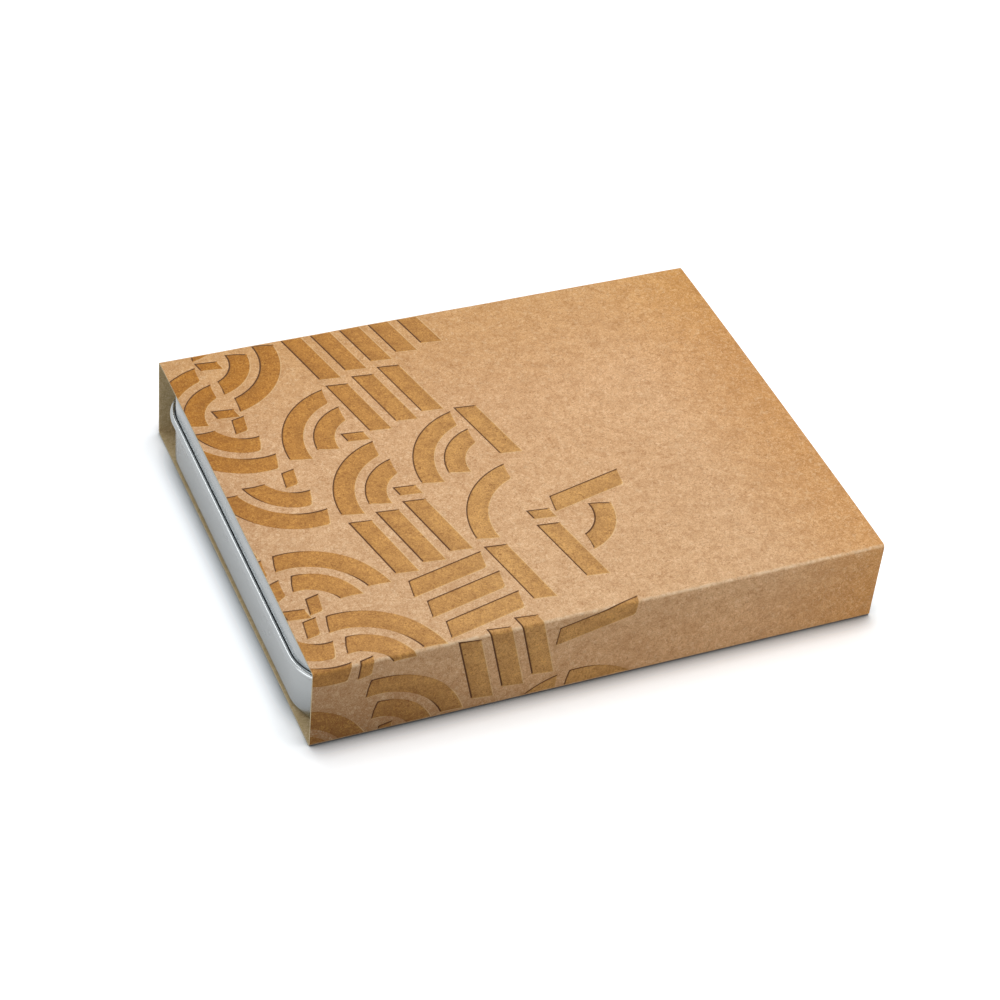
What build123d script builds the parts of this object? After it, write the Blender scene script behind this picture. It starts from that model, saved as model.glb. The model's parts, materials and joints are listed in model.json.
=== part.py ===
"""Calligraphy set box: a kraft-card sleeve around a hinged tin with a pen, nib units and ink.

Origin: centre of the sleeve's underside. +X along the sleeve's open length, +Y towards the
tin's hinge, +Z up. All sizes are in millimetres.
"""

import os
from math import cos, radians, sin

from build123d import *

# card sleeve
SLEEVE_LENGTH = 170.0
SLEEVE_DEPTH = 136.5
SLEEVE_HEIGHT = 27.6
CARD = 0.5
FOLD_RADIUS = 0.9            # outside of each scored fold
FLAP_HEIGHT = 19.5           # glue flap, inside the back panel
FLAP_END_INSET = 3.0
FLAP_CHAMFER = 12.0

# tin: drawn base and lid in one sheet thickness
SHEET = 0.3
WALL_SETBACK = 0.3           # tin's end wall inside the sleeve's cut edge
TIN_HEIGHT = 25.4
TIN_SIDE_GAP = 0.4           # rolled edge to the sleeve, front and back
CORNER_RADIUS = 15.0         # outside of the walls, in plan
CURL_RADIUS = 0.95           # rolled edge of the lid, outside
CURL_HEIGHT = 17.3           # its centre above the tin's foot
CURL_TURN = 300.0            # degrees of sheet in the roll
CURL_FLAT_COUNT = 8
BEND_FLAT_COUNT = 2          # flats that stand for each pressed quarter bend
FOOT_RADIUS = 2.0            # bottom edge, outside
FOOT_WIDTH = 4.0
FLOOR_RAISE = 0.8
SHOULDER_HEIGHT = 15.7       # where the base wall steps in to the neck
SHOULDER_RISE = 0.7
NECK_CLEARANCE = 0.3         # lid skirt to neck
HEM_DEPTH = 2.0              # safe edge folded inwards on top of the neck
HEM_GAP = 0.06               # left between the folded sheets
HEM_TO_LID = 0.3
TOP_EDGE_RADIUS = 1.2
LID_BORDER = 6.0
LID_RAISE = 0.4              # raised field in the lid's top
STEP_RUN = 1.0               # width of the pressed steps in lid and floor

# lid hinges
HINGE_SPACING = 96.0
KNUCKLE_WIDTH = 12.0
KNUCKLE_GAP = 0.3
PIN_LENGTH = 30.0
PIN_CLEARANCE = 0.05
NOTCH_CLEARANCE = 0.35       # knuckle to the notch in the lid's skirt
TAB_ROOT = 1.0               # length of the hinge tab on the base wall

# foam insert, lid pad and leaflet
FOAM_EDGE_GAP = 0.3
FOAM_HEIGHT = 19.0
POCKET_FLOOR = 4.8
POCKET_GAP = 0.3
FINGER_RADIUS = 9.0
FINGER_DEPTH = 11.0
PAD_INSET = 10.0
PAD_THICKNESS = 3.8
LEAFLET_LENGTH = 148.0
LEAFLET_WIDTH = 105.0
PAPER = 0.15
LEAFLET_FOLD_RADIUS = 0.2

# pen
BARREL_RADIUS = 6.0
BARREL_LENGTH = 72.0
BARREL_WALL = 1.2
BARREL_NECK_RADIUS = 5.4
BARREL_NECK_LENGTH = 6.0
CAP_RADIUS = 6.8
CAP_LENGTH = 60.0
CAP_TOP_WALL = 2.0
FINIAL_HEIGHT = 2.2
FINIAL_STEM_RADIUS = 2.0
CLIP_WIDTH = 3.4
CLIP_SHEET = 0.5
CLIP_LENGTH = 38.0
CLIP_TIP = 3.0
CLIP_ROOT = 3.2              # half the square round the finial's stem
CLIP_STAND_OFF = 0.8
PART_GAP = 0.05              # between pieces that are pushed or screwed together

# front section, feed and nib
GRIP_LENGTH = 26.0
GRIP_RADIUS = 5.1            # to the corners of its six sides
TENON_LENGTH = 12.0
SOCKET_DEPTH = 20.0          # blind socket for the feed and nib
FEED_RADIUS = 2.9
FEED_LENGTH = 36.0
FEED_NOSE = 17.0             # length in front of the section
FEED_COLLAR = 2.0            # full round in front of the section
FEED_BELLY = 2.45            # underside below the axis, behind the fins
FEED_TIP_RISE = 1.45         # underside above the axis, at the tip
FIN_COUNT = 5
FIN_PITCH = 1.5
FIN_SLOT = 0.6
NIB_SHEET = 0.25
NIB_ARCH = 150.0             # degrees of its arch over the feed
NIB_FLAT_COUNT = 6
NIB_LENGTH = 34.0
NIB_NOSE = 21.0              # length in front of the section
NIB_SHOULDER = 7.0           # section to where the nib starts to taper
NIB_TAPER = 8.0
NIB_FLARE = 0.5              # half width gained where the taper ends
NIB_EDGE = 1.5               # parallel length behind the writing edge
BREATHER_RADIUS = 0.8        # to the corners of its eight sides
NIB_SLIT = 0.12
PEN_NIB_WIDTH = 1.1
SPARE_NIB_WIDTHS = (1.5, 1.9, 2.3)

# ink cartridges
CARTRIDGE_RADIUS = 3.75
CARTRIDGE_LENGTH = 38.5
CARTRIDGE_NECK_RADIUS = 2.4
CARTRIDGE_NECK_LENGTH = 5.0
CARTRIDGE_COUNT = 3

# layout of the foam
POCKET_MARGIN = 12.0         # foam's edge to the outermost pieces
SPARE_PITCH = 21.0
CARTRIDGE_PITCH = 14.0

# worked out
TIN_LENGTH = SLEEVE_LENGTH - 2 * WALL_SETBACK
CURL_PROUD = 2 * CURL_RADIUS - SHEET
ROOM_FRONT = -SLEEVE_DEPTH / 2 + CARD
ROOM_BACK = SLEEVE_DEPTH / 2 - 2 * CARD      # the glue flap doubles the back panel
TIN_WIDTH = ROOM_BACK - ROOM_FRONT - 2 * (TIN_SIDE_GAP + CURL_PROUD)
TIN_Y = (ROOM_FRONT + ROOM_BACK) / 2
NECK_INSET = SHEET + NECK_CLEARANCE          # neck's outer face, in from the wall's
HEM_INNER = NECK_INSET + 2 * SHEET + HEM_GAP
LID_BORDER_TOP = TIN_HEIGHT - LID_RAISE
NECK_TOP = LID_BORDER_TOP - SHEET - HEM_TO_LID
HINGE_Y = TIN_WIDTH / 2 + CURL_RADIUS - SHEET
ROLL_MIDDLE = CURL_RADIUS - SHEET / 2
ROLL_BORE = ROLL_MIDDLE * cos(radians(CURL_TURN / CURL_FLAT_COUNT / 2)) - SHEET / 2
PIN_RADIUS = ROLL_BORE - PIN_CLEARANCE
FLOOR_TOP = FLOOR_RAISE + SHEET
FOAM_INSET = HEM_INNER + FOAM_EDGE_GAP
FOAM_LENGTH = TIN_LENGTH - 2 * FOAM_INSET
FOAM_WIDTH = TIN_WIDTH - 2 * FOAM_INSET
FOAM_TOP = FLOOR_TOP + FOAM_HEIGHT
POCKET_Z = FLOOR_TOP + POCKET_FLOOR
SECTION_BORE = FEED_RADIUS + NIB_SHEET + 2 * PART_GAP
BARREL_BORE = BARREL_NECK_RADIUS - BARREL_WALL
TENON_RADIUS = BARREL_BORE - PART_GAP
CAP_BORE = BARREL_NECK_RADIUS + PART_GAP
CLIP_ROOM = CLIP_STAND_OFF + 2 * CLIP_SHEET
PEN_LENGTH = BARREL_LENGTH + CAP_LENGTH + CLIP_SHEET + FINIAL_HEIGHT
UNIT_LENGTH = TENON_LENGTH + GRIP_LENGTH + NIB_NOSE
PEN_Y = -FOAM_WIDTH / 2 + POCKET_MARGIN + CAP_RADIUS
BACK_END = FOAM_WIDTH / 2 - POCKET_MARGIN     # where nibs and cartridge mouths end
SPARE_START = -FOAM_LENGTH / 2 + POCKET_MARGIN + GRIP_RADIUS
SPARE_X = [SPARE_START + number * SPARE_PITCH for number in range(len(SPARE_NIB_WIDTHS))]
SPARE_Y = BACK_END - UNIT_LENGTH / 2
CARTRIDGE_END = FOAM_LENGTH / 2 - POCKET_MARGIN - CARTRIDGE_RADIUS
CARTRIDGE_X = [CARTRIDGE_END - number * CARTRIDGE_PITCH for number in range(CARTRIDGE_COUNT)]
CARTRIDGE_Y = BACK_END - CARTRIDGE_LENGTH / 2


def turned(*profile):
    """A solid turned about X from an outline in (x, radius)."""
    return revolve(make_face(Polyline(*profile, close=True)), Axis.X)


def rounded_plate(inset, thickness):
    """A flat plate of the tin's outline less an inset all round, its underside at z = 0."""
    outline = RectangleRounded(
        TIN_LENGTH - 2 * inset, TIN_WIDTH - 2 * inset, CORNER_RADIUS - inset
    )
    return extrude(outline, thickness)


def sheet_section(points):
    """The pressed sheet's section, from points along the middle of its thickness."""
    return Plane.XZ * trace(Polyline(*points), SHEET)


def bend(centre, radius, start, turn, flats):
    """Points round a bend of the sheet, given the bend's outside radius."""
    middle = radius - SHEET / 2
    angles = [radians(start + turn * step / flats) for step in range(flats + 1)]
    return [(centre[0] + middle * cos(a), centre[1] + middle * sin(a)) for a in angles]


def round_the_tin(section):
    """Carry a wall section in (outwards, up) round the tin's four sides and corners."""
    corner_x = TIN_LENGTH / 2 - CORNER_RADIUS
    corner_y = TIN_WIDTH / 2 - CORNER_RADIUS
    side = extrude(Pos(TIN_LENGTH / 2, corner_y, 0) * section, 2 * corner_y)
    end = extrude(Pos(TIN_WIDTH / 2, corner_x, 0) * section, 2 * corner_x)
    corner = revolve(Pos(CORNER_RADIUS, 0, 0) * section, Axis.Z, 90)
    runs = []
    for turn, sign_x, sign_y, straight in (
        (0, 1, 1, side), (90, -1, 1, end), (180, -1, -1, side), (270, 1, -1, end)
    ):
        runs.append(Pos(sign_x * corner_x, sign_y * corner_y, 0) * Rot(0, 0, turn) * corner)
        runs.append(Rot(0, 0, turn) * straight)
    return Part() + runs


def card_sleeve():
    """One wrapped strip of card, open at both ends, with the glue flap inside the back."""
    outside = RectangleRounded(SLEEVE_DEPTH, SLEEVE_HEIGHT, FOLD_RADIUS)
    inside = RectangleRounded(
        SLEEVE_DEPTH - 2 * CARD, SLEEVE_HEIGHT - 2 * CARD, FOLD_RADIUS - CARD
    )
    tube = extrude(Plane.YZ * (outside - inside), SLEEVE_LENGTH / 2, both=True)
    tube = Pos(0, 0, SLEEVE_HEIGHT / 2) * tube

    foot = SLEEVE_LENGTH / 2 - FLAP_END_INSET
    top = foot - FLAP_CHAMFER
    low, high = CARD, CARD + FLAP_HEIGHT
    outline = Polyline((-foot, low), (foot, low), (top, high), (-top, high), close=True)
    flap = extrude(Plane.XZ * make_face(outline), CARD)
    tube += Pos(0, SLEEVE_DEPTH / 2 - CARD, 0) * flap
    fold = FOLD_RADIUS - CARD
    fold_fill = Pos(0, SLEEVE_DEPTH / 2 - CARD - fold / 2, CARD + fold / 2) * Box(
        2 * foot, fold, fold
    )
    return tube + fold_fill


def tin_base():
    """Drawn tray: raised floor, foot, wall, shoulder, neck and a hem folded inwards."""
    wall = -SHEET / 2
    neck = -NECK_INSET - SHEET / 2
    floor = FLOOR_RAISE + SHEET / 2
    rim = NECK_TOP - SHEET / 2
    hem = neck - SHEET - HEM_GAP
    foot_inner = -FOOT_RADIUS - FOOT_WIDTH
    section = sheet_section([
        (foot_inner - 2 * STEP_RUN, floor), (foot_inner - STEP_RUN, floor),
        (foot_inner, SHEET / 2),
        *bend((-FOOT_RADIUS, FOOT_RADIUS), FOOT_RADIUS, -90, 90, BEND_FLAT_COUNT),
        (wall, SHOULDER_HEIGHT), (neck, SHOULDER_HEIGHT + SHOULDER_RISE),
        (neck, rim), (hem, rim), (hem, rim - HEM_DEPTH),
    ])
    tray = round_the_tin(section)
    tray += Pos(0, 0, FLOOR_RAISE) * rounded_plate(2 * STEP_RUN - foot_inner, SHEET)

    tab_y = TIN_WIDTH / 2 + wall
    tab = Line((tab_y, SHOULDER_HEIGHT - TAB_ROOT), (tab_y, CURL_HEIGHT))
    roll = CenterArc((HINGE_Y, CURL_HEIGHT), ROLL_MIDDLE, 180, -CURL_TURN)
    knuckle = extrude(Plane.YZ * trace(tab + roll, SHEET), KNUCKLE_WIDTH / 2, both=True)
    for side in (-1, 1):
        tray += Pos(side * HINGE_SPACING / 2, 0, 0) * knuckle
    return tray


def tin_lid():
    """Drawn lid: raised field, rounded top edge, skirt and an edge rolled outwards."""
    border = LID_BORDER_TOP - SHEET / 2
    field = TIN_HEIGHT - SHEET / 2
    edge_centre = (-TOP_EDGE_RADIUS, LID_BORDER_TOP - TOP_EDGE_RADIUS)
    roll_centre = (CURL_RADIUS - SHEET, CURL_HEIGHT)
    section = sheet_section([
        (-LID_BORDER - 2 * STEP_RUN, field), (-LID_BORDER - STEP_RUN, field),
        (-LID_BORDER, border),
        *bend(edge_centre, TOP_EDGE_RADIUS, 90, -90, BEND_FLAT_COUNT),
        *bend(roll_centre, CURL_RADIUS, 180, CURL_TURN, CURL_FLAT_COUNT),
    ])
    lid = round_the_tin(section)
    lid += Pos(0, 0, TIN_HEIGHT - SHEET) * rounded_plate(LID_BORDER + 2 * STEP_RUN, SHEET)

    notch_height = 2 * (CURL_RADIUS + NOTCH_CLEARANCE)
    notch = Box(KNUCKLE_WIDTH + 2 * KNUCKLE_GAP, notch_height, notch_height)
    for side in (-1, 1):
        lid -= Pos(side * HINGE_SPACING / 2, HINGE_Y, CURL_HEIGHT) * notch
    return lid


def hinge_pin(side):
    """Straight wire pin through the lid's rolled edge and the base's knuckle."""
    wire = Rot(0, 90, 0) * Cylinder(PIN_RADIUS, PIN_LENGTH)
    return Pos(side * HINGE_SPACING / 2, HINGE_Y, CURL_HEIGHT) * wire


def pocket(length, width):
    """Cutter for one die-cut pocket, open at the foam's top."""
    outline = Rectangle(length + 2 * POCKET_GAP, width + 2 * POCKET_GAP)
    return Pos(0, 0, POCKET_Z) * extrude(outline, FOAM_HEIGHT)


def foam_insert():
    """Foam block with a pocket for each tool and finger troughs across them."""
    foam = Pos(0, 0, FLOOR_TOP) * rounded_plate(FOAM_INSET, FOAM_HEIGHT)
    foam -= Pos(0, PEN_Y + CLIP_ROOM / 2, 0) * pocket(PEN_LENGTH, 2 * CAP_RADIUS + CLIP_ROOM)
    for x in SPARE_X:
        foam -= Pos(x, SPARE_Y, 0) * pocket(2 * GRIP_RADIUS, UNIT_LENGTH)
    for x in CARTRIDGE_X:
        foam -= Pos(x, CARTRIDGE_Y, 0) * pocket(2 * CARTRIDGE_RADIUS, CARTRIDGE_LENGTH)
    foam -= Pos(0, PEN_Y, FOAM_TOP - FINGER_DEPTH) * extrude(Circle(FINGER_RADIUS), FINGER_DEPTH)
    for row, y in ((SPARE_X, SPARE_Y), (CARTRIDGE_X, CARTRIDGE_Y)):
        trough = SlotCenterToCenter(max(row) - min(row), 2 * FINGER_RADIUS)
        place = Pos((max(row) + min(row)) / 2, y, FOAM_TOP - FINGER_DEPTH)
        foam -= place * extrude(trough, FINGER_DEPTH)
    return foam


def lid_pad():
    """Thin foam pad glued under the lid's raised field."""
    return Pos(0, 0, TIN_HEIGHT - SHEET - PAD_THICKNESS) * rounded_plate(PAD_INSET, PAD_THICKNESS)


def leaflet():
    """A sheet of paper folded once, lying on the foam."""
    half = LEAFLET_WIDTH / 2
    low = FOAM_TOP + PAPER / 2
    high = low + 2 * LEAFLET_FOLD_RADIUS
    lower = Line((-half, low), (half, low))
    fold = CenterArc((half, low + LEAFLET_FOLD_RADIUS), LEAFLET_FOLD_RADIUS, -90, 180)
    upper = Line((half, high), (-half, high))
    section = Plane.YZ * trace(lower + fold + upper, PAPER)
    return extrude(section, LEAFLET_LENGTH / 2, both=True)


def pen_barrel():
    """Straight barrel with a turned-down neck for the cap and a blind bore."""
    floor = -BARREL_LENGTH + 2 * BARREL_WALL
    return turned(
        (BARREL_NECK_LENGTH, BARREL_BORE), (BARREL_NECK_LENGTH, BARREL_NECK_RADIUS),
        (0, BARREL_NECK_RADIUS), (0, BARREL_RADIUS), (-BARREL_LENGTH, BARREL_RADIUS),
        (-BARREL_LENGTH, 0), (floor, 0), (floor, BARREL_BORE),
    )


def pen_cap():
    """Cap shell, open at the barrel end, with a hole for the finial's stem."""
    floor = CAP_LENGTH - CAP_TOP_WALL
    return turned(
        (PART_GAP, CAP_BORE), (PART_GAP, CAP_RADIUS), (CAP_LENGTH, CAP_RADIUS),
        (CAP_LENGTH, FINIAL_STEM_RADIUS), (floor, FINIAL_STEM_RADIUS), (floor, CAP_BORE),
    )


def cap_finial():
    """Screwed-in disc which holds the clip's ring against the cap's top."""
    base = CAP_LENGTH + CLIP_SHEET
    stem_end = CAP_LENGTH - CAP_TOP_WALL
    stem = FINIAL_STEM_RADIUS - PART_GAP
    return turned(
        (stem_end, 0), (stem_end, stem), (base, stem), (base, CAP_RADIUS),
        (base + FINIAL_HEIGHT, CAP_RADIUS), (base + FINIAL_HEIGHT, 0),
    )


def pocket_clip():
    """Spring-sheet clip: a root under the finial, a bend and a tongue along the cap."""
    middle = CAP_LENGTH + CLIP_SHEET / 2
    reach = CAP_RADIUS + CLIP_STAND_OFF + CLIP_SHEET / 2
    line = Polyline(
        (middle, -CLIP_ROOT), (middle, reach), (middle - CLIP_LENGTH, reach),
        (middle - CLIP_LENGTH - CLIP_TIP, reach + CLIP_SHEET),
    )
    tongue = extrude(Plane.XZ * trace(line, CLIP_SHEET), CLIP_WIDTH / 2, both=True)
    root = Pos(middle, 0, 0) * Box(CLIP_SHEET, 2 * CLIP_ROOT, 2 * CLIP_ROOT)
    hole = Pos(middle, 0, 0) * Rot(0, 90, 0) * Cylinder(FINIAL_STEM_RADIUS, 2 * CLIP_SHEET)
    return tongue + root - hole


def grip_section():
    """Front section: tenon behind, six-sided grip and a blind socket for feed and nib."""
    grip = extrude(Plane.YZ * RegularPolygon(GRIP_RADIUS, 6), GRIP_LENGTH)
    tenon = Pos(-TENON_LENGTH / 2, 0, 0) * Rot(0, 90, 0) * Cylinder(TENON_RADIUS, TENON_LENGTH)
    socket = Rot(0, 90, 0) * Cylinder(SECTION_BORE, SOCKET_DEPTH)
    return grip + tenon - Pos(GRIP_LENGTH - SOCKET_DEPTH / 2, 0, 0) * socket


def arched(radius, turn, flats):
    """Points of a many-sided arch in (across, up), open at the bottom."""
    angles = [radians(90 - turn / 2 + turn * step / flats) for step in range(flats + 1)]
    return [(radius * cos(a), radius * sin(a)) for a in angles]


def feed():
    """Feed: a many-sided stem in the section and a finned, tapering nose under the nib."""
    sides = round(360 / (NIB_ARCH / NIB_FLAT_COUNT))
    outline = arched(FEED_RADIUS, 360 * sides / (sides + 1), sides)
    body = extrude(Plane.YZ * make_face(Polyline(*outline, close=True)), FEED_LENGTH)
    tip = GRIP_LENGTH + FEED_NOSE
    body = Pos(tip - FEED_LENGTH, 0, 0) * body
    collar = GRIP_LENGTH + FEED_COLLAR
    below = -2 * FEED_RADIUS
    under = Polyline(
        (collar, below), (collar, -FEED_BELLY), (tip, FEED_TIP_RISE), (tip, below),
        close=True,
    )
    body -= extrude(Plane.XZ * make_face(under), 2 * FEED_RADIUS, both=True)
    for number in range(FIN_COUNT):
        slot = Box(FIN_SLOT, 3 * FEED_RADIUS, FEED_RADIUS)
        body -= Pos(collar + (number + 1) * FIN_PITCH, 0, -FEED_BELLY) * slot
    return body


def nib(edge_width):
    """Broad-edged steel nib: arched sheet with shoulders, breather hole and slit."""
    tip = GRIP_LENGTH + NIB_NOSE
    start = tip - NIB_LENGTH
    middle = FEED_RADIUS + NIB_SHEET / 2 + PART_GAP
    arch = trace(Polyline(*arched(middle, NIB_ARCH, NIB_FLAT_COUNT)), NIB_SHEET)
    blank = Pos(start, 0, 0) * extrude(Plane.YZ * arch, NIB_LENGTH)
    shoulder = GRIP_LENGTH + NIB_SHOULDER
    wide = 2 * FEED_RADIUS
    half_edge = edge_width / 2
    side = [
        (start, wide), (shoulder, wide), (shoulder, FEED_RADIUS),
        (shoulder + NIB_TAPER, half_edge + NIB_FLARE), (tip - NIB_EDGE, half_edge),
        (tip, half_edge),
    ]
    plan = make_face(Polyline(*side, *[(x, -y) for x, y in reversed(side)], close=True))
    blank &= extrude(plan, wide)
    hole = Pos(shoulder, 0, 0) * extrude(RegularPolygon(BREATHER_RADIUS, 8), wide)
    slit = Pos((shoulder + tip) / 2, 0, FEED_RADIUS) * Box(tip - shoulder, NIB_SLIT, FEED_RADIUS)
    return blank - hole - slit


def cartridge():
    """Moulded ink cartridge with a stepped neck and a sealed mouth, mouth at x = 0."""
    return turned(
        (0, 0), (0, CARTRIDGE_NECK_RADIUS), (-CARTRIDGE_NECK_LENGTH, CARTRIDGE_NECK_RADIUS),
        (-CARTRIDGE_NECK_LENGTH, CARTRIDGE_RADIUS), (-CARTRIDGE_LENGTH, CARTRIDGE_RADIUS),
        (-CARTRIDGE_LENGTH, 0),
    )


in_sleeve = Pos(0, TIN_Y, CARD)
parts = {
    "card_sleeve": card_sleeve(),
    "tin_base": in_sleeve * tin_base(),
    "tin_lid": in_sleeve * tin_lid(),
    "hinge_pin_left": in_sleeve * hinge_pin(-1),
    "hinge_pin_right": in_sleeve * hinge_pin(1),
    "foam_insert": in_sleeve * foam_insert(),
    "lid_pad": in_sleeve * lid_pad(),
    "leaflet": in_sleeve * leaflet(),
}

# the pen lies along X in its pocket, cap to the right and clip to the side
pen_place = in_sleeve * Pos(BARREL_LENGTH - PEN_LENGTH / 2, PEN_Y, POCKET_Z + CAP_RADIUS)
pen_place = pen_place * Rot(-90, 0, 0)
parts["pen_barrel"] = pen_place * pen_barrel()
parts["pen_cap"] = pen_place * pen_cap()
parts["cap_finial"] = pen_place * cap_finial()
parts["pocket_clip"] = pen_place * pocket_clip()
front_place = pen_place * Pos(BARREL_NECK_LENGTH, 0, 0)
parts["pen_section"] = front_place * grip_section()
parts["pen_feed"] = front_place * feed()
parts["pen_nib"] = front_place * nib(PEN_NIB_WIDTH)
parts["pen_cartridge"] = front_place * Pos(-TENON_LENGTH, 0, 0) * cartridge()

# spare front units, nib towards the hinge
for number, (x, width) in enumerate(zip(SPARE_X, SPARE_NIB_WIDTHS), start=1):
    place = in_sleeve * Pos(x, BACK_END - UNIT_LENGTH + TENON_LENGTH, POCKET_Z + GRIP_RADIUS)
    place = place * Rot(0, 0, 90)
    parts[f"spare_{number}_section"] = place * grip_section()
    parts[f"spare_{number}_feed"] = place * feed()
    parts[f"spare_{number}_nib"] = place * nib(width)

for number, x in enumerate(CARTRIDGE_X, start=1):
    place = in_sleeve * Pos(x, BACK_END, POCKET_Z + CARTRIDGE_RADIUS)
    parts[f"ink_cartridge_{number}"] = place * Rot(0, 0, 90) * cartridge()

os.makedirs("parts", exist_ok=True)
for name, shape in parts.items():
    export_step(shape, f"parts/{name}.step")
    print(name, round(shape.volume, 3))
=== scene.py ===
import json
import math
import random

import bpy
from mathutils import Matrix, Vector, noise

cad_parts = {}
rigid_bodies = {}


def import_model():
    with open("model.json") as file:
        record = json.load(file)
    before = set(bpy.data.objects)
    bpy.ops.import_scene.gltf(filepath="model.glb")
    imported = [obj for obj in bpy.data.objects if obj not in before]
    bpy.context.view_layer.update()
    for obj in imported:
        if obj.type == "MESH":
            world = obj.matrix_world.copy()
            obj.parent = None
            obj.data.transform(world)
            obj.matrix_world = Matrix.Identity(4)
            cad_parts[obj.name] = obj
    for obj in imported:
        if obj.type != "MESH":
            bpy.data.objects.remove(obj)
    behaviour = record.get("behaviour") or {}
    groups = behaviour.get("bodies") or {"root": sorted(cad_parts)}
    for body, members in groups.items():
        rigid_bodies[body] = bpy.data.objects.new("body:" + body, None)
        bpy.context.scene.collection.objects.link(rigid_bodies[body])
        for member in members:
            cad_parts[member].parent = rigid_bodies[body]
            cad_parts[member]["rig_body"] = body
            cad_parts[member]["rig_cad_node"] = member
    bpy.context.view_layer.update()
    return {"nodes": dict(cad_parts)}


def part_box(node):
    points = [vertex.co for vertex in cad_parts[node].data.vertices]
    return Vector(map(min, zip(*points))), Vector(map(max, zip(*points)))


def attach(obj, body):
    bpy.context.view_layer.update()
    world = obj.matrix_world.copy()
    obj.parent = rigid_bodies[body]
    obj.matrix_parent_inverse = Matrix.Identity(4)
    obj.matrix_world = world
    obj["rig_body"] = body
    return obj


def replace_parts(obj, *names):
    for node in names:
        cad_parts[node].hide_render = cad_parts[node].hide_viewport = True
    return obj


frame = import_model()
mm = 0.001
print("frame loaded,", len(frame["nodes"]), "CAD pieces")


def linear(hexColour):  # sRGB hex to the linear values that sockets take
    levels = [int(hexColour[i:i + 2], 16) / 255 for i in (1, 3, 5)]
    return [*[v / 12.92 if v <= 0.04045 else ((v + 0.055) / 1.055) ** 2.4 for v in levels], 1]


def add(tree, kind, sockets=None, **settings):  # one node, with its sockets set or linked
    node = tree.nodes.new("ShaderNode" + kind)
    for name, value in settings.items():
        setattr(node, name, value)
    for socket, value in (sockets or {}).items():
        if isinstance(value, bpy.types.NodeSocket):
            tree.links.new(value, node.inputs[socket])
        else:
            node.inputs[socket].default_value = value
    return node


def newMaterial(name, shader):
    material = bpy.data.materials.new(name)
    material.use_nodes = True
    tree = material.node_tree
    principled = tree.nodes["Principled BSDF"]
    for socket, value in shader.items():
        principled.inputs[socket].default_value = value
    return material, tree, principled


def activate(piece):
    bpy.ops.object.select_all(action="DESELECT")
    piece.select_set(True)
    bpy.context.view_layer.objects.active = piece


def applyModifier(piece, kind, **settings):
    activate(piece)
    modifier = piece.modifiers.new(kind.title(), kind)
    for name, value in settings.items():
        setattr(modifier, name, value)
    bpy.ops.object.modifier_apply(modifier=modifier.name)


def joined(name, pieces):
    activate(pieces[0])
    for piece in pieces:
        piece.select_set(True)
    bpy.ops.object.join()
    whole = bpy.context.object
    whole.name = whole.data.name = name
    return whole


def dress(piece, *materials):
    piece.data.materials.clear()
    for material in materials:
        piece.data.materials.append(material)


# materials: kraft card

kraftLook = {
    "flecks": 0.7,  # mm, short fibres lying in the sheet
    "specks": 0.9,  # mm, dark bits of bark
    "fibres": 3.2,  # mm, bend of the longer fibres
    "mottle": 4.5,  # mm, looser and denser spots of pulp
    "clouds": 45.0,  # mm, slow change of tone over a panel
    "darkFlecks": 0.64,  # share of the darker colour in a fleck, and so on for each layer
    "paleFlecks": 0.55,
    "darkMottle": 0.22,
    "darkClouds": 0.1,
    "darkThreads": 0.4,
    "paleThreads": 0.3,
    "darkSpecks": 0.6,
    "threadWidth": 0.05,  # of the noise field's range, either side of its middle
}

# slow changes of tone: direction, from and to (mm), share and colour
# painted shade at the front panel's left end: darker toward the left and toward the bottom, on the card and
# on its ink
paintedShadeCorner = ((-1, 0, -2.4), 5, 70, 0.66, "#64421A")
# paler toward the front fold, greyer toward the left end, painted shade in a warmer tone toward the right
# end and the back edge, and the painted shade at the front's left end
cardTones = (((0, -1, 6), 135, 233, 0.3, "#E8CBA6"), ((-1, 0, 0), -20, 85, 0.14, "#B49E82"),
             ((1, 0, 0), 50, 88, 0.66, "#CD8B2A"), ((0, 1, 0), 24, 68, 0.4, "#D29A41"), paintedShadeCorner)
inkTones = (((1, -0.6, 0), -100, 5, 0.72, "#DEB072"), paintedShadeCorner)


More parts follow.
